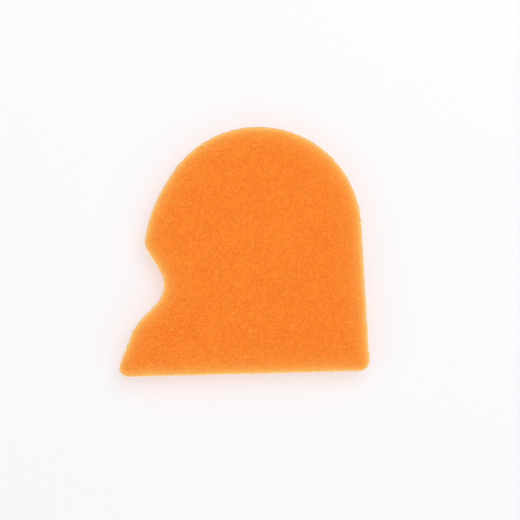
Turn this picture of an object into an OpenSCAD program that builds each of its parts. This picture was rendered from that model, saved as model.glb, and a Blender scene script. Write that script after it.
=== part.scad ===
// Flat foam air filter element for the air box of a scooter or small motorcycle.
// It is one sheet of open-cell foam, cut through along a single closed outline.
// A round hollow in its left edge lets it slip past a screw boss of the air box.
//
// +X runs from the toe to the heel, +Y from the straight base to the round crown,
// and +Z through the sheet. The origin is the middle of the outline's box, on the
// face that lies on the air box grille.

/* [Sheet] */
// Overall width, from the tip of the toe to the heel
body_w = 150; // [142:1:158]
// Overall height, from the base to the top of the crown
body_h = 148; // [144:1:160]
// Thickness of the foam sheet
sheet_t = 15; // [8:1:25]

/* [Heel and crown] */
// Lean of the long straight side, in degrees from upright
side_lean = 2; // [0:0.5:4]
// Radius of the corner between the base and the long side
heel_r = 5.5; // [3:0.5:12]
// Radius of the flatter curve between the crown and the nose
flank_r = 90; // [60:5:90]

/* [Boss hollow] */
// Radius of the hollow, a loose fit round the boss
hollow_r = 17.5; // [15:0.5:18.5]
// Distance of the hollow's centre from the left edge
hollow_x = 10.5; // [9:0.5:12]
// Height of the hollow's centre above the base
hollow_y = 55; // [53:1:57]
// Radius of the nose above the hollow
nose_r = 9.5; // [4:0.5:10]
// Radius of the lip below the hollow
lip_r = 30; // [10:1:32]
// Radius of the toe's tip
toe_r = 5; // [3:0.5:7]

/* [Hidden] */
$fn = 180;
foam_orange = [0.98, 0.52, 0.18];

// Corners of the crown and of the flank, as shares of the sheet's width and height.
crown_share = 0.353;
flank_share = [0.149, 0.699];
// Corners of the nose and of the lip, seen from the hollow's centre: how far, in hollow
// radii, and in which direction, in degrees from +X.
nose_reach = 1.41;
nose_angle = 76;
lip_reach = 1.45;
lip_angle = -92;

// How far a corner's round reaches past its chord, so that it joins or cuts cleanly.
overlap = 1;
// How much a round is larger than its corner asks, so that the straight sides run into it.
hair = 0.002;

// Direction of a line, in degrees from +X, as a vector of length 1.
function heading(angle) = [cos(angle), sin(angle)];

// Point where the line through p along u crosses the line through q along v.
function crossing(p, u, q, v) = p + u * cross(q - p, v) / cross(u, v);

// Direction from p that just touches a circle, with the circle to its right (+1) or left (-1).
function grazing(p, centre, r, hand) =
    let (d = centre - p) heading(atan2(d.y, d.x) + hand * asin(r / norm(d)));

// The corners of the outline before rounding, measured from the box's lower left corner.
// The heel's round touches the right side of the box, so its sharp corner lies past that side.
heel_at = [body_w - heel_r + heel_r * tan((90 + side_lean) / 2), 0];
shoulder_at = [heel_at.x - body_h * tan(side_lean), body_h];
crown_at = [crown_share * body_w, body_h];
flank_at = [flank_share.x * body_w, flank_share.y * body_h];

// The nose stands above the hollow and the lip below it, at distances that follow its radius.
hollow_at = [hollow_x, hollow_y];
nose_at = hollow_at + nose_reach * hollow_r * heading(nose_angle);
lip_at = hollow_at + lip_reach * hollow_r * heading(lip_angle);

// The hollow's sharp corner is where the lines from the nose and from the lip would meet.
notch_at = crossing(
    nose_at, grazing(nose_at, hollow_at, hollow_r, 1),
    lip_at, grazing(lip_at, hollow_at, hollow_r, -1));

// The toe's side runs from the lip to the toe's round, which touches the left side of the box.
toe_at = crossing(
    lip_at, grazing(lip_at, [toe_r, toe_r], toe_r, -1),
    [0, 0], [1, 0]);

// Angle by which the outline turns left at the middle one of three corners.
function turn(a, b, c) = let (u = b - a, v = c - b) atan2(cross(u, v), u * v);

// The crown is one arc that touches the long side, the top of the box and the flank.
shoulder_turn = turn(heel_at, shoulder_at, crown_at);
crown_turn = turn(shoulder_at, crown_at, flank_at);
crown_r = (shoulder_at.x - crown_at.x) / (tan(shoulder_turn / 2) + tan(crown_turn / 2));

// The outline anticlockwise, each corner with the radius that rounds it.
OUTLINE = [
    [heel_at, heel_r],
    [shoulder_at, crown_r],
    [crown_at, crown_r],
    [flank_at, flank_r],
    [nose_at, nose_r],
    [notch_at, hollow_r],
    [lip_at, lip_r],
    [toe_at, toe_r],
];

// A round corner as [start of its arc, end of its arc, centre, radius, turn].
function round_corner(corners, i) = let (
    n = len(corners),
    at = corners[i][0],
    r = corners[i][1],
    before = corners[(i + n - 1) % n][0],
    after = corners[(i + 1) % n][0],
    bend = turn(before, at, after),
    reach = r * tan(abs(bend) / 2),
    u = (at - before) / norm(at - before),
    v = (after - at) / norm(after - at),
    inward = [-u.y, u.x] * sign(bend)
) [at - u * reach, at + v * reach, at - u * reach + inward * r, r, bend];

// The part of a corner's circle past the chord of its arc, with an overlap on the other three sides.
module round_segment(corner) {
    chord = corner[1] - corner[0];
    r = corner[3];
    intersection() {
        translate(corner[2]) circle(r = r + hair);
        translate(corner[0]) rotate(atan2(chord.y, chord.x))
            translate([-overlap, corner[4] > 0 ? -r : -overlap])
                square([norm(chord) + 2 * overlap, r + overlap]);
    }
}

// A polygon with rounded corners: outer corners gain a segment, hollow ones lose it.
module rounded_polygon(corners) {
    rounds = [for (i = [0 : len(corners) - 1]) round_corner(corners, i)];
    difference() {
        union() {
            polygon([for (c = rounds) each [c[0], c[1]]]);
            for (c = rounds) if (c[4] > 0) round_segment(c);
        }
        for (c = rounds) if (c[4] < 0) round_segment(c);
    }
}

module foam_element() {
    color(foam_orange)
        translate([-body_w / 2, -body_h / 2, 0])
            linear_extrude(height = sheet_t)
                rounded_polygon(OUTLINE);
}

foam_element();
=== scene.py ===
# %% [markdown]
# # A foam air filter element
#
# The object is one flat sheet of orange open-cell foam, cut to fit the air box of a scooter or a small
# motorcycle. It has a straight base, a round crown, and a hollow in its left edge that slips past a screw
# boss. The CAD solid already has that outline and the sheet's thickness. What it lacks is the foam itself:
# a skin of small open cells on every side, with a thin strut between each cell and the next, a soft light
# rim where daylight comes in through the cut edge, which is painted into the colour as a glow, and a dull
# surface without gloss.
#
# A texture could fake the cells from far off, but it would lie flat at the outline and in close views. So
# the cells are real geometry. The notebook reads the outline from the solid, scatters a seed for each cell
# over both faces and the cut wall, joins the seeds into one closed net, and turns the net inside out, so
# that each seed becomes the bottom of a pit. All of it is worked out as whole numpy arrays.

# %% Load the imported solid
import math

import bpy
import numpy as np
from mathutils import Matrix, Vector
from mathutils.geometry import delaunay_2d_cdt


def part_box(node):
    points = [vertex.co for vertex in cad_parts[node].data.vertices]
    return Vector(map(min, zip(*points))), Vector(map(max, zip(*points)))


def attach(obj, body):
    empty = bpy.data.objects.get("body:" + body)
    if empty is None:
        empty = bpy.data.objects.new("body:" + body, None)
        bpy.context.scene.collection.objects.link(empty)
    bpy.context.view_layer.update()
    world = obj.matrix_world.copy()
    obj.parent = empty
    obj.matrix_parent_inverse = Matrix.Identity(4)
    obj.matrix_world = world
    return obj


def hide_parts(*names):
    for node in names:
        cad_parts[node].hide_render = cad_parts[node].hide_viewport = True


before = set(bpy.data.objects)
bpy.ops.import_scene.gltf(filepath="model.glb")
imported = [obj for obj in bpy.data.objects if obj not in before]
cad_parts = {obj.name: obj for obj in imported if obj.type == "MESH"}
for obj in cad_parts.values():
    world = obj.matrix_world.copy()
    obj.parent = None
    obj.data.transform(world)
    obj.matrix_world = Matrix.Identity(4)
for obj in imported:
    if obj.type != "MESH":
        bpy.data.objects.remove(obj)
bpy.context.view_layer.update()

MM = 0.001
rng = np.random.default_rng(7)
low, high = (np.array(corner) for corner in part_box("foam_element"))
thickness = high[2] - low[2]
print("sheet in mm:", np.round((high - low) / MM, 1))

# %% [markdown]
# ## The blade's path
#
# A steel blade cuts the sheet along one closed line. The solid's lowest points all lie on that line, so it
# can be read from the mesh. From the middle of the sheet each of them is seen in a direction of its own,
# because the outline never folds back behind itself. Sorting them by that direction puts them in order,
# anticlockwise. This fits the looks to the solid without writing a single size down again.


# %% The outline as a closed path
def vertex_places(mesh):
    """All vertices of a mesh, one row of x, y, z each."""
    places = np.empty(len(mesh.vertices) * 3)
    mesh.vertices.foreach_get("co", places)
    return places.reshape(-1, 3)


SAME = 0.01 * MM  # points nearer than this are one point
solid = vertex_places(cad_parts["foam_element"].data)
lowest = solid[solid[:, 2] < low[2] + SAME, :2]
path = np.unique(np.round(lowest / SAME), axis=0) * SAME
middle = (low[:2] + high[:2]) / 2
path = path[np.argsort(np.arctan2(path[:, 1] - middle[1], path[:, 0] - middle[0]))]

side = np.roll(path, -1, axis=0) - path
side_length = np.linalg.norm(side, axis=1)
side_out = np.stack([side[:, 1], -side[:, 0]], 1) / side_length[:, None]
path_s = np.concatenate([[0], np.cumsum(side_length)])
girth = path_s[-1]
print(f"outline: {len(path)} points, {girth / MM:.0f} mm round")


# %% Places on the path and distances to it
def closed(rows):
    """The rows with the first one repeated at the end, so that interpolation can cross the start."""
    return np.concatenate([rows, rows[:1]])


corner_out = side_out + np.roll(side_out, 1, axis=0)
corner_out /= np.linalg.norm(corner_out, axis=1)[:, None]


def along(s, rows):
    """A quantity kept at the path's points, at the distances s along the path, by straight interpolation."""
    return np.stack([np.interp(s % girth, path_s, closed(column)) for column in rows.T], 1)


def outline_distance(points):
    """How far each point lies inside the outline, negative outside.

    The nearest place on each side is where the point's shadow falls on it, held between the side's ends.
    A point is inside if a ray from it towards +X crosses the path an odd number of times."""
    rel = points[:, None] - path
    share = np.clip((rel * side).sum(2) / side_length**2, 0, 1)
    gap = np.linalg.norm(rel - share[..., None] * side, axis=2).min(1)
    start_y, end_y = path[:, 1], path[:, 1] + side[:, 1]
    y = points[:, 1, None]
    crosses = (start_y > y) != (end_y > y)
    reach = path[:, 0] + side[:, 0] * (y - start_y) / np.where(side[:, 1] == 0, 1, side[:, 1])
    inside = (crosses & (reach > points[:, 0, None])).sum(1) % 2 == 1
    return np.where(inside, gap, -gap)


# %% [markdown]
# ## A seed for each cell
#
# Foam rises as bubbles of nearly one size that press against each other, so their centres lie about one
# cell apart but never in rows. A honeycomb lattice with each point nudged at random gives just that. The
# two faces, the cut wall and both sharp edges get seeds of their own. Seeds on an edge belong to the face
# and to the wall at once, so cells will wrap round the edge as they do on real cut foam.

# %% Scatter the seeds
CELL = 1.2 * MM
ROW = CELL * math.sqrt(3) / 2
NUDGE = 0.38              # of a cell, either way
EDGE_ROOM = 0.6 * CELL    # between the face's seeds and the edge's
BRIDGE = 0.02 * CELL      # a triangle whose middle isn't that far inside only bridges the hollow


def lattice(start, width, rows, row_height):
    """A honeycomb lattice, every other row moved by half a cell, each point nudged at random."""
    columns = int(round(width / CELL))
    step = width / columns
    column, row = np.meshgrid(np.arange(columns), np.arange(rows))
    points = np.stack([(column + 0.5 * (row % 2)) * step, row * row_height], 2).reshape(-1, 2)
    return start + points + rng.uniform(-NUDGE, NUDGE, points.shape) * CELL


def face_seeds():
    """Lattice points at least EDGE_ROOM inside the outline, so that none crowds the edge's seeds."""
    rows = int((high[1] - low[1]) / ROW) + 1
    points = lattice(low[:2], high[0] - low[0] + CELL, rows, ROW)
    return points[outline_distance(points) > EDGE_ROOM]


def edge_seeds():
    """Distances along the path, one cell apart, nudged half as much because an edge's cells are slim."""
    count = int(round(girth / CELL))
    return (np.arange(count) + rng.uniform(-NUDGE / 2, NUDGE / 2, count)) * girth / count


wall_rows = int(round(thickness / ROW))
wall_sz = lattice(np.zeros(2), girth, wall_rows - 1, thickness / wall_rows)
wall_sz[:, 1] += thickness / wall_rows
top_xy, base_xy = face_seeds(), face_seeds()
top_s, base_s = edge_seeds(), edge_seeds()
print("seeds: top", len(top_xy), "base", len(base_xy), "wall", len(wall_sz), "each edge", len(top_s))

# %% [markdown]
# ## One closed net of seeds
#
# Delaunay's rule joins each seed to its neighbours with triangles that are as fat as can be. It works on
# flat points, so each face is joined as it lies. The wall is a band without ends, so it is first wound on
# a ring: the way along becomes an angle, and the height becomes a radius that grows so that small shapes
# keep their proportions. Because the edges' seeds are shared, the three nets close into one surface.


# %% Join the seeds
def ring_loop(first, count):
    """The edges that join vertices first, first + 1 and so on into a closed loop."""
    at = np.arange(count)
    return np.stack([first + at, first + (at + 1) % count], 1)


def joined(points, loops):
    """Delaunay triangles of flat points that keep the loops' edges, each anticlockwise."""
    found = delaunay_2d_cdt(points.tolist(), np.concatenate(loops).tolist(), [], 0, 1e-9, True)
    assert len(found[0]) == len(points), "a seed was lost"
    triangles = np.array(found[2])
    a, b, c = (points[triangles[:, k]] for k in range(3))
    clockwise = np.cross(b - a, c - a) < 0
    triangles[clockwise] = triangles[clockwise][:, ::-1]
    return triangles


def face_net(xy, edge):
    """The net of one face, without the triangles that bridge its hollow."""
    points = np.concatenate([xy, edge])
    net = joined(points, [ring_loop(len(xy), len(edge))])
    return net[outline_distance(points[net].mean(1)) > BRIDGE]


def on_ring(s, z):
    """The band wound on a ring: angle 2 pi s / girth, radius exp(2 pi z / girth)."""
    angle, radius = 2 * np.pi * s / girth, np.exp(2 * np.pi * z / girth)
    return np.stack([radius * np.cos(angle), radius * np.sin(angle)], 1)


top_edge, base_edge = along(top_s, path), along(base_s, path)
top_net, base_net = face_net(top_xy, top_edge), face_net(base_xy, base_edge)
wall_ring = np.concatenate(
    [on_ring(wall_sz[:, 0], wall_sz[:, 1]), on_ring(top_s, thickness), on_ring(base_s, 0)]
)
first_top, first_base = len(wall_sz), len(wall_sz) + len(top_s)
wall_net = joined(
    wall_ring, [ring_loop(first_top, len(top_s)), ring_loop(first_base, len(base_s))]
)
wall_net = wall_net[(wall_net < first_base).any(1)]  # base seeds alone only bridge the ring's hole
print("triangles: top", len(top_net), "base", len(base_net), "wall", len(wall_net))

# %% [markdown]
# ## The net in space
#
# Now each seed gets its place in space and the direction that points out of the foam there. On a face that
# is straight up or down, on the wall it is straight out, and on an edge it is halfway between the two. The
# three nets are put in one list, with each edge's seeds numbered once, so the list describes a closed skin.


# %% Seeds in space and the closed net
def placed(xy, z):
    """Flat points lifted to height z."""
    return np.column_stack([xy, np.full(len(xy), z)])


def unit(rows):
    """Each row scaled to length 1."""
    return rows / np.linalg.norm(rows, axis=1)[:, None]


UP = np.array([0.0, 0.0, 1.0])
wall_place = np.column_stack([along(wall_sz[:, 0], path), low[2] + wall_sz[:, 1]])
wall_out = placed(unit(along(wall_sz[:, 0], corner_out)), 0)
top_edge_out = unit(placed(unit(along(top_s, corner_out)), 0) + UP)
base_edge_out = unit(placed(unit(along(base_s, corner_out)), 0) - UP)

parts = [
    (placed(top_xy, high[2]), np.tile(UP, (len(top_xy), 1))),
    (placed(base_xy, low[2]), np.tile(-UP, (len(base_xy), 1))),
    (wall_place, wall_out),
    (placed(top_edge, high[2]), top_edge_out),
    (placed(base_edge, low[2]), base_edge_out),
]
seed = np.concatenate([place for place, out in parts])
seed_out = np.concatenate([out for place, out in parts])
firsts = np.concatenate([[0], np.cumsum([len(place) for place, out in parts])])
TOP, BASE, WALL, TOP_EDGE, BASE_EDGE = range(5)


def numbered(net, *owners):
    """A net whose own numbers run through these groups of seeds, in the numbers of the whole list."""
    return np.concatenate([np.arange(firsts[k], firsts[k + 1]) for k in owners])[net]


net = np.concatenate([
    numbered(top_net, TOP, TOP_EDGE),
    numbered(base_net, BASE, BASE_EDGE)[:, ::-1],
    numbered(wall_net, WALL, TOP_EDGE, BASE_EDGE)[:, ::-1],
])
region = np.repeat([TOP, BASE, WALL], [len(top_net), len(base_net), len(wall_net)])
print("cells:", len(seed), "strut junctions:", len(net))

# %% [markdown]
# ## Inside out: from seeds to cells
#
# A foam's struts run where neighbouring cells meet, so three struts meet at a junction in the middle of
# each triangle of seeds, and each cell is the ring of junctions round its seed. To walk that ring, every
# triangle corner has to know the same seed's corner in the next triangle, anticlockwise. Two triangles that
# share a side name its ends in opposite order, so sorting the sides by their ends finds each partner.

# %% Junctions, and the next corner round each seed
corner_seed = net.ravel()
corner_triangle = np.repeat(np.arange(len(net)), 3)
after, before = np.roll(net, -1, axis=1).ravel(), np.roll(net, 1, axis=1).ravel()
key_after, key_before = corner_seed * len(seed) + after, corner_seed * len(seed) + before
order = np.argsort(key_after)
next_corner = order[np.searchsorted(key_after[order], key_before)]
assert (key_after[next_corner] == key_before).all(), "the net isn't closed"

junction = seed[net].mean(1)
a, b, c = (seed[net[:, k]] for k in range(3))
junction_out = unit(np.cross(b - a, c - a))
print("outward volume of the net in ml:", round(float((np.cross(a, b) * c).sum() / 6 * 1e6), 1))

# %% [markdown]
# ## The relief of a cut face
#
# The saw that peels the sheet and the blade that cuts its outline slice every cell they meet in half. What
# stays is a net of struts at the surface and an open bowl behind each mesh. So each cell is built from its
# ring of junctions inwards: a narrow shoulder that rounds the strut, a steep wall, and a deep middle. No two
# cells were sliced at the same height, so each has its own depth. Some struts are left as short stubs that
# stand out, mostly on the wall, where the blade drags, and they make the outline look soft. A cell on an
# edge is sliced twice. It loses its corner and keeps only a shallow bowl, so its skin can't fold over.

# %% Depths, stubs and the slight dish of the cut wall
SHOULDER_SHARE, SHOULDER_DEPTH = 0.17, 0.08     # of the way to the middle, and of the pit's depth
BOWL_SHARE, BOWL_DEPTH = 0.52, 0.72
PIT_DEPTH, PIT_LEAST, PIT_MOST = 0.50 * CELL, 0.6, 1.25  # the last two as shares of the first
FACE_INSET, WALL_INSET = 0.10 * MM, -0.15 * MM  # the wall lies proud, because its struts spring out
FACE_STUB, WALL_STUB, STUB_SHARE = 0.10 * MM, 0.60 * MM, 0.4
WALL_DISH = 0.35 * MM
CORNER_DROP, EDGE_PIT = 0.2 * CELL, 0.25        # at an edge: the lost corner, and the share of a pit
SWELL = 0.05 * MM


def dish(z):
    """The wall draws in towards the middle of its height by WALL_DISH, as 1 - h^2 with h from -1 to 1."""
    h = 2 * (z - low[2]) / thickness - 1
    return WALL_DISH * (1 - h**2)


def sidewards(out):
    """How much a direction points sideways: 0 on the faces, 1 on the wall."""
    return np.linalg.norm(out[:, :2], axis=1)


def inset(places, out):
    """How far the skin lies behind the solid's surface."""
    flat = sidewards(out)
    return FACE_INSET + flat * (WALL_INSET - FACE_INSET + dish(places[:, 2]))


on_wall = sidewards(junction_out)
stub = FACE_STUB + on_wall * (WALL_STUB - FACE_STUB)
rise = np.where(rng.random(len(junction)) < STUB_SHARE, rng.random(len(junction)) * stub, 0)
junction_drop = inset(junction, junction_out) - rise
pit = PIT_DEPTH * rng.uniform(PIT_LEAST, PIT_MOST, len(seed))
on_edge = np.arange(len(seed)) >= firsts[TOP_EDGE]
pit[on_edge] *= EDGE_PIT
seed_drop = inset(seed, seed_out) + pit
middle_place = seed - seed_out * (CORNER_DROP * on_edge)[:, None]


def lerp(a, b, share):
    """a at share 0, b at share 1."""
    return a + (b - a) * share


def ring(share, depth):
    """A ring of each cell, share of the way from its junctions to its middle, sunk by depth times its pit.

    At a junction it follows the junction's own direction, and from a third of the way in, the cell's."""
    place = lerp(junction[corner_triangle], middle_place[corner_seed], share)
    out = unit(lerp(junction_out[corner_triangle], seed_out[corner_seed], min(1, 3 * share)))
    rim_drop = inset(place, out) - rise[corner_triangle] * (1 - share) ** 3
    return place - out * (rim_drop + pit[corner_seed] * depth)[:, None]


shoulder, bowl = ring(SHOULDER_SHARE, SHOULDER_DEPTH), ring(BOWL_SHARE, BOWL_DEPTH)
places = np.concatenate([
    junction - junction_out * junction_drop[:, None],
    shoulder,
    bowl,
    middle_place - seed_out * seed_drop[:, None],
])


def swell(places):
    """Long shallow waves of the sheet's thickness, never above the solid's top: three crossed sines."""
    x, y = places[:, 0] / MM, places[:, 1] / MM
    waves = np.sin(x / 11 + y / 23) + np.sin(y / 9 - x / 31 + 1) + np.sin((x + y) / 6 + 2)
    return SWELL * (waves - 3) / 3


height = np.maximum(places[:, 2] - low[2], 0)
places[:, 2] = low[2] + height * (1 + swell(places) / thickness)
print("skin: lowest and highest point in mm", np.round((places[:, 2].min() / MM, places[:, 2].max() / MM), 2))

# %% [markdown]
# ## Faces of the skin
#
# The skin has four kinds of vertex: the junctions, the shoulder ring, the bowl ring and the pit's middle.
# Going from each corner to the next one round its seed gives two four-sided faces and one triangle, in
# three bands that close round every cell. Their vertex numbers are worked out for all cells at once.

# %% Vertex numbers of every face
corners = len(corner_seed)
own = np.arange(corners)
first_shoulder = len(junction)
first_bowl = first_shoulder + corners
first_middle = first_bowl + corners
this_junction, next_junction = corner_triangle, corner_triangle[next_corner]
strut_faces = np.stack(
    [this_junction, next_junction, first_shoulder + next_corner, first_shoulder + own], 1)
wall_faces = np.stack(
    [first_shoulder + own, first_shoulder + next_corner, first_bowl + next_corner, first_bowl + own], 1)
floor_faces = np.stack(
    [first_bowl + own, first_bowl + next_corner, first_middle + corner_seed], 1)
print("faces:", 3 * corners, "triangles:", 5 * corners)

# %% [markdown]
# ## What the material needs to know
#
# Three numbers are kept at each vertex for the foam's material. `inside` is the distance in millimetres from
# the nearest sharp edge, which sets a painted glow, because light that comes in from two sides makes an edge
# paler. On the wall it counts twice, and at the tip of a stub it is less, so the tip is painted paler,
# because light goes right through a thin strut. `pit` says how deep the vertex lies in its cell, which also
# sets the painted shade in pits, and `tone` is one random number for each cell, because no two cells catch
# light alike.


# %% Numbers kept at each vertex
def from_edge(points, out):
    """Distance in mm from the nearest sharp edge, across the face, or twice that up or down the wall."""
    across = np.abs(outline_distance(points[:, :2]))
    updown = np.minimum(points[:, 2] - low[2], high[2] - points[:, 2])
    return np.where(sidewards(out) > 0.5, 2 * updown, across) / MM


def per_vertex(at_junction, at_seed, shares=(SHOULDER_SHARE, BOWL_SHARE)):
    """A quantity known at junctions and seeds, for all four kinds of vertex."""
    rings = [lerp(at_junction[corner_triangle], at_seed[corner_seed], share) for share in shares]
    return np.concatenate([at_junction, *rings, at_seed])


# A stub's tip is painted paler, as a glow of the light that passes through the thin strut.
TIP_PALENESS, TIP_LENGTH = 0.6, 0.3 * MM  # a stub that long is as pale as a tip gets
tip = 1 - TIP_PALENESS * np.minimum(1, on_wall * rise / TIP_LENGTH)
inside = per_vertex(from_edge(junction, junction_out) * tip, from_edge(seed, seed_out))
pit_depth = per_vertex(np.zeros(len(junction)), pit / PIT_DEPTH, (SHOULDER_DEPTH, BOWL_DEPTH))
seed_tone = rng.random(len(seed))
tone = np.concatenate([
    seed_tone[net].mean(1), seed_tone[corner_seed], seed_tone[corner_seed], seed_tone])
print("inside, mm:", inside.min().round(2), "to", inside.max().round(1))

# %% [markdown]
# ## A flat map of the skin
#
# A map lays the skin out flat, so that colours can be stored as a picture. Both faces are flat already and
# keep their shape. The wall becomes two straight strips. Where a cell wraps round an edge, its part on the
# wall is folded out into the face's plane. All of it uses the places before they were sunk, so the faces of
# the map can't overlap.

# %% Lay out the map
GAP = 3 * MM
size = high - low
sheet_of_map = np.array([2 * size[0] + 3 * GAP, size[1] + 2 * thickness + 4 * GAP])
seed_s = np.concatenate([np.zeros(firsts[WALL]), wall_sz[:, 0] % girth, top_s % girth, base_s % girth])
apart = seed_s[net] - seed_s[net[:, :1]]
apart -= girth * np.round(apart / girth)
junction_ahead = (apart.mean(1)[:, None] - apart).ravel()  # along the path, from the corner's seed
fold = np.where(region == WALL, 1, 0)[:, None] * junction_out[:, :2]


def on_map(share, of_corner, chart):
    """Map places of the points at that share from junction to seed, on the chart that each face lies on."""
    triangle, own_seed = corner_triangle[of_corner], corner_seed[of_corner]
    place = lerp(junction[triangle], seed[own_seed], share)
    depth = np.where(chart == TOP, high[2] - place[:, 2], place[:, 2] - low[2])
    xy = place[:, :2] + fold[triangle] * depth[:, None]
    top = xy - low[:2] + GAP
    base = np.stack([2 * GAP + size[0] + high[0] - xy[:, 0], top[:, 1]], 1)
    strip = np.floor(2 * seed_s[own_seed] / girth)
    ahead = seed_s[own_seed] + (1 - share) * junction_ahead[of_corner] - strip * girth / 2
    row = size[1] + 2 * GAP + strip * (thickness + GAP)
    wall = np.stack([GAP + ahead, row + place[:, 2] - low[2]], 1)
    chart = chart[:, None]
    return np.where(chart == TOP, top, np.where(chart == BASE, base, wall)) / sheet_of_map


here, there = region[this_junction], region[next_junction]
chart = np.where(here == WALL, there, here)


def band_map(outer, inner):
    """Map places for a band's four-sided faces, in the order of their corners."""
    rims = [(outer, own), (outer, next_corner), (inner, next_corner), (inner, own)]
    return np.stack([on_map(share, corner, chart) for share, corner in rims], 1)


strut_map, wall_map = band_map(0, SHOULDER_SHARE), band_map(SHOULDER_SHARE, BOWL_SHARE)
floor_map = np.stack([
    on_map(BOWL_SHARE, own, chart), on_map(BOWL_SHARE, next_corner, chart), on_map(1, own, chart)], 1)
every_map = np.concatenate([m.reshape(-1, 2) for m in (strut_map, wall_map, floor_map)])
print("map spans", every_map.min(0).round(3), "to", every_map.max(0).round(3))


# %% Put the skin into a mesh
def mesh_of(name, places, face_bands):
    """A mesh from vertex places and lists of faces, each list with one number of corners."""
    mesh = bpy.data.meshes.new(name)
    counts = np.concatenate([np.full(len(band), band.shape[1]) for band in face_bands])
    loops = np.concatenate([band.ravel() for band in face_bands])
    mesh.vertices.add(len(places))
    mesh.vertices.foreach_set("co", places.astype(np.float32).ravel())
    mesh.loops.add(len(loops))
    mesh.loops.foreach_set("vertex_index", loops.astype(np.int32))
    mesh.polygons.add(len(counts))
    mesh.polygons.foreach_set("loop_start", (np.cumsum(counts) - counts).astype(np.int32))
    mesh.polygons.foreach_set("use_smooth", np.ones(len(counts), bool))
    mesh.update(calc_edges=True)
    return mesh


foam_mesh = mesh_of("foam_sheet", places, [strut_faces, wall_faces, floor_faces])
for name, values in (("inside", inside), ("pit", pit_depth), ("tone", tone)):
    kept = foam_mesh.attributes.new(name, "FLOAT", "POINT")
    kept.data.foreach_set("value", values.astype(np.float32))
flat_map = foam_mesh.uv_layers.new(name="OFBake", do_init=False)
flat_map.uv.foreach_set("vector", every_map.astype(np.float32).ravel())
foam = bpy.data.objects.new("foam_sheet", foam_mesh)
bpy.context.scene.collection.objects.link(foam)
print("foam sheet:", len(foam_mesh.vertices), "vertices")

# %% [markdown]
# ## Writing a finish as sums
#
# A finish is worked out by small nodes that add, multiply or mix numbers at each point of the surface.
# Written one by one they would take pages, so a small class wraps a node's socket and lets Python's own
# signs stand for the Math nodes. Any other kind of node comes from its one method `node`.


# %% A socket that can be reckoned with
def plug(socket, value):
    """Give a socket a number, a colour or the end of a wire."""
    if isinstance(value, Wire):
        socket.id_data.links.new(value.socket, socket)
    else:
        socket.default_value = value


def both_ways(operation):
    """The two methods of one sign: for wire sign other, and reflected, for other sign wire."""
    return (lambda wire, other: wire.math(operation, wire, other),
            lambda wire, other: wire.math(operation, other, wire))


class Wire:
    """The output of a node. Signs between wires and numbers add Math nodes."""

    def __init__(self, socket):
        self.socket = socket

    def node(self, kind, settings, inputs, output=0):
        """A node of any kind: its settings are set first, then its sockets get values or wires."""
        made = self.socket.id_data.nodes.new("ShaderNode" + kind)
        for name, value in settings.items():
            setattr(made, name, value)
        for name, value in inputs.items():
            plug(made.inputs[name], value)
        return Wire(made.outputs[output])

    def math(self, operation, a, b):
        """A Math node with two inputs."""
        return self.node("Math", {"operation": operation}, {0: a, 1: b})

    __add__, __radd__ = both_ways("ADD")
    __sub__, __rsub__ = both_ways("SUBTRACT")
    __mul__, __rmul__ = both_ways("MULTIPLY")
    __truediv__, __rtruediv__ = both_ways("DIVIDE")
    __pow__, __rpow__ = both_ways("POWER")

    def kept(self, least=0.0, most=1.0):
        """This value held between two limits."""
        return self.node("Clamp", {}, {0: self, 1: least, 2: most})

    def blend(self, a, b):
        """Colour a where this is 0, colour b where it is 1."""
        settings = {"data_type": "RGBA", "blend_type": "MIX"}
        return self.node("Mix", settings, {0: self, 6: a, 7: b}, output=2)


def new_finish(name):
    """An empty material, its shader node, and a wire that gives places on the object in metres."""
    material = bpy.data.materials.new(name)
    material.use_nodes = True
    shader = material.node_tree.nodes["Principled BSDF"]
    coordinates = material.node_tree.nodes.new("ShaderNodeTexCoord")
    return material, shader, Wire(coordinates.outputs["Object"])


# %% [markdown]
# ## The foam's finish
#
# Air-filter foam is polyurethane dyed bright orange. Its struts are matt and let light through, so light
# wanders from cell to cell before it comes out again. That is why the sheet looks evenly bright, and why its
# pits are only a little deeper in colour than its struts. A real net of struts all the way through would be
# far too heavy to draw, so the shader lets light pass a little way under the skin, and the rest of that light
# and shade is painted into the colour:
#
# - a strut's colour lies between a core tone and a deeper one. Some cells are much paler, and the tone
#   drifts slowly over the sheet, because dye and cell size are never quite even. Pits get painted shade, a
#   little deeper in colour;
# - at the bottom of a deep cell, painted shade stands for the darker, shaded foam that an opening shows
#   behind it;
# - towards a cut edge, where light also comes in through the wall, a painted glow makes the colour paler by
#   e^(-d / reach);
# - at the very edge, a painted glow makes the torn ends of the struts palest, where light passes through
#   them.

# %% Colours of the foam
# CORE and DEEP bound the dye's random tones, and DEEP also gives the painted shade in pits. The colour of the
# deep cells' openings is painted shade, and the rim and fray colours are painted glow.
CORE = (0.85, 0.269, 0.028, 1)
DEEP = (0.65, 0.134, 0.0, 1)
WINDOW_SHADE = (0.42, 0.050, 0.0, 1)
PAINTED_RIM_GLOW = (0.79, 0.435, 0.095, 1)
PAINTED_FRAY_GLOW = (0.79, 0.57, 0.26, 1)
RIM_GLOW_REACH, FRAY_GLOW_REACH = 3.6, 0.9  # in mm
# A pit's share beyond the strut's tone is painted shade.
STRUT_TONE, PIT_PAINTED_SHADE = 0.46, 0.10  # how far a strut lies from CORE to DEEP, and a pit's share beyond that
PALE_TONE, SLOW_TONE = 0.37, 0.12  # how far the palest cell goes back, and the whole slow drift
# These set the painted shade at the bottom of a deep cell: from which depth, over how much, how strong.
WINDOW_START, WINDOW_STEP, WINDOW_SHARE = 0.78, 0.2, 0.18  # where in a pit, over what depth, how strong
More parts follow.
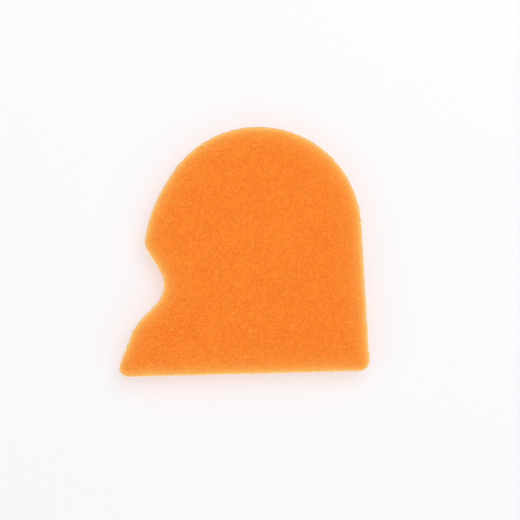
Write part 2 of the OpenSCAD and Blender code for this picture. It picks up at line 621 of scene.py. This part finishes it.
# These set the painted glow at the torn strut ends, and how much less of it a pit gets.
STRUT_FRAY_GLOW, PIT_FRAY_GLOW = 0.53, 0.06  # how much of the torn ends' paleness shows, and how much less in a pit
DULLNESS, DULLNESS_RANGE = 0.82, 0.2
UNDER_SKIN, SKIN_DEPTH = 0.9, 0.5 * MM  # share of the light that passes under the skin, and how far

# %% Light under the skin
foam_finish, foam_shader, place = new_finish("dyed_open_cell_foam")


def read(name):
    """A number kept at each vertex, as a wire."""
    return place.node("Attribute", {"attribute_name": name}, {}, output="Fac")


def grain(size_mm, detail=2.0):
    """Noise from 0 to 1 whose lumps are about that many millimetres wide."""
    return place.node("TexNoise", {}, {"Vector": place, "Scale": 1 / (size_mm * MM), "Detail": detail})


edge_distance = read("inside")
# Painted glow towards the cut edges, and stronger still right at the edge.
painted_rim_glow_share = math.exp(-1 / RIM_GLOW_REACH) ** edge_distance
painted_fray_glow_share = math.exp(-1 / FRAY_GLOW_REACH) ** edge_distance
pit_share, cell_tone = read("pit"), read("tone")
slow_drift = grain(28, detail=1.0) - 0.5
pale_cell = (1 - cell_tone) * (1 - cell_tone)
# The dye's random tones, plus painted shade that deepens the colour in pits.
deepness = STRUT_TONE + pit_share * PIT_PAINTED_SHADE - pale_cell * PALE_TONE + slow_drift * SLOW_TONE
strut_colour = deepness.kept().blend(CORE, DEEP)
# Painted shade at the bottom of a deep cell, standing for the shaded foam seen through its opening.
window_shade_share = ((pit_share - WINDOW_START) / WINDOW_STEP).kept() * WINDOW_SHARE
cell_colour = window_shade_share.blend(strut_colour, WINDOW_SHADE)
# Painted glow: the colour grows paler towards a cut edge, where light also comes in through the wall.
painted_rim_glow_colour = painted_rim_glow_share.blend(cell_colour, PAINTED_RIM_GLOW)
# Painted glow at the torn strut ends right at the edge, a little less in pits.
painted_fray_glow_weight = painted_fray_glow_share * (STRUT_FRAY_GLOW - PIT_FRAY_GLOW * pit_share)
plug(foam_shader.inputs["Base Color"], painted_fray_glow_weight.blend(painted_rim_glow_colour, PAINTED_FRAY_GLOW))
plug(foam_shader.inputs["Roughness"], DULLNESS + (grain(0.9) - 0.5) * DULLNESS_RANGE)
plug(foam_shader.inputs["Normal"], place.node(
    "Bump", {}, {"Height": grain(0.35, detail=3.0), "Strength": 0.25, "Distance": 0.05 * MM}))
foam_shader.subsurface_method = "RANDOM_WALK"
plug(foam_shader.inputs["Subsurface Weight"], UNDER_SKIN)
plug(foam_shader.inputs["Subsurface Radius"], (1.0, 0.8, 0.7))
plug(foam_shader.inputs["Subsurface Scale"], SKIN_DEPTH)
plug(foam_shader.inputs["Specular IOR Level"], 0.25)
foam.data.materials.append(foam_finish)
print("nodes in the foam's finish:", len(foam_finish.node_tree.nodes))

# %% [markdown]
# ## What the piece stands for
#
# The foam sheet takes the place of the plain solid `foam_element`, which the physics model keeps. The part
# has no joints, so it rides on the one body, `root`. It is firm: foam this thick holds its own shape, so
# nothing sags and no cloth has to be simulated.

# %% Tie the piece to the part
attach(foam, "root")
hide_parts("foam_element")
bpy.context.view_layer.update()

# %% [markdown]
# ## Table, light and camera
#
# The sheet lies on a plain white table in soft light from all round, as in a room whose white walls catch
# more light than its ceiling. One large lamp stands a little to the right and behind, so a faint shadow
# falls below and to the left. Real open-cell foam lets a good part of the light through to the table, which
# a closed skin can't do. So a part of the light comes from a fill that casts no shadow, and the shadow stays
# as thin as foam's. The camera looks straight down.


# %% The table
HALF = 1.5  # metres, half of the table's side
TABLE_WHITE = (0.764, 0.764, 0.782, 1)
table_corners = placed(HALF * np.array([(-1, -1), (1, -1), (1, 1), (-1, 1)]), low[2])
table_mesh = mesh_of("table", table_corners, [np.array([[0, 1, 2, 3]])])
table = bpy.data.objects.new("table", table_mesh)
bpy.context.scene.collection.objects.link(table)
table_finish, table_shader, _ = new_finish("white_table")
plug(table_shader.inputs["Base Color"], TABLE_WHITE)
plug(table_shader.inputs["Roughness"], 0.9)
plug(table_shader.inputs["Specular IOR Level"], 0.0)
table_mesh.materials.append(table_finish)
print("table side in m:", 2 * HALF)


# %% The light
WALLS, CEILING = 1.0, 0.50            # brightness of the room
WALLS_END, CEILING_START = 0.05, 0.3  # as upward parts of a direction of length 1
KEY_WATTS, KEY_PLACE, KEY_SIZE = 3.5, (0.27, 0.40, 1.1), 1.0
FILL_STRENGTH, FILL_PLACE = 2.25, (-0.35, -0.60, 0.85)
scene = bpy.context.scene
scene.world = bpy.data.worlds.new("studio")
scene.world.use_nodes = True
room = scene.world.node_tree.nodes["Background"]
plug(room.inputs["Color"], (1.0, 1.0, 1.0, 1))
ray = Wire(scene.world.node_tree.nodes.new("ShaderNodeTexCoord").outputs["Generated"])
upward = ray.node("SeparateXYZ", {}, {"Vector": ray}, output="Z")
plug(room.inputs["Strength"], ray.node(
    "MapRange", {"interpolation_type": "SMOOTHSTEP"},
    {"Value": upward, "From Min": WALLS_END, "From Max": CEILING_START, "To Min": WALLS, "To Max": CEILING}))


def light(name, kind, strength, place, size=None):
    """A lamp at a place, turned so that its -Z axis points at the foam."""
    data = bpy.data.lights.new(name, kind)
    data.energy = strength
    if size:
        data.shape, data.size = "DISK", size
    lamp = bpy.data.objects.new(name, data)
    lamp.location = place
    lamp.rotation_euler = (-Vector(place)).to_track_quat("-Z", "Y").to_euler()
    scene.collection.objects.link(lamp)
    return lamp


light("key_lamp", "AREA", KEY_WATTS, KEY_PLACE, size=KEY_SIZE)
light("fill_light", "SUN", FILL_STRENGTH, FILL_PLACE).data.use_shadow = False
scene.view_settings.view_transform = "Standard"
print("walls and ceiling:", WALLS, CEILING, "key in W:", KEY_WATTS, "fill in W per m2:", FILL_STRENGTH)

# %% The camera
VIEW_WIDTH = 312.9 * MM  # seen from side to side at the height of the top face
CAMERA_HEIGHT = 1.0      # above the top face
CAMERA_AT = np.array([11.1, -5.9]) * MM
CAMERA_TURN = math.radians(-1.42)
SENSOR = 36.0
camera_data = bpy.data.cameras.new("overhead")
camera_data.sensor_width = SENSOR
camera_data.lens = SENSOR * CAMERA_HEIGHT / VIEW_WIDTH
camera = bpy.data.objects.new("overhead", camera_data)
scene.collection.objects.link(camera)
camera.location = (*CAMERA_AT, high[2] + CAMERA_HEIGHT)
camera.rotation_euler = (0, 0, CAMERA_TURN)
scene.camera = camera
print("lens in mm:", round(camera_data.lens, 1))
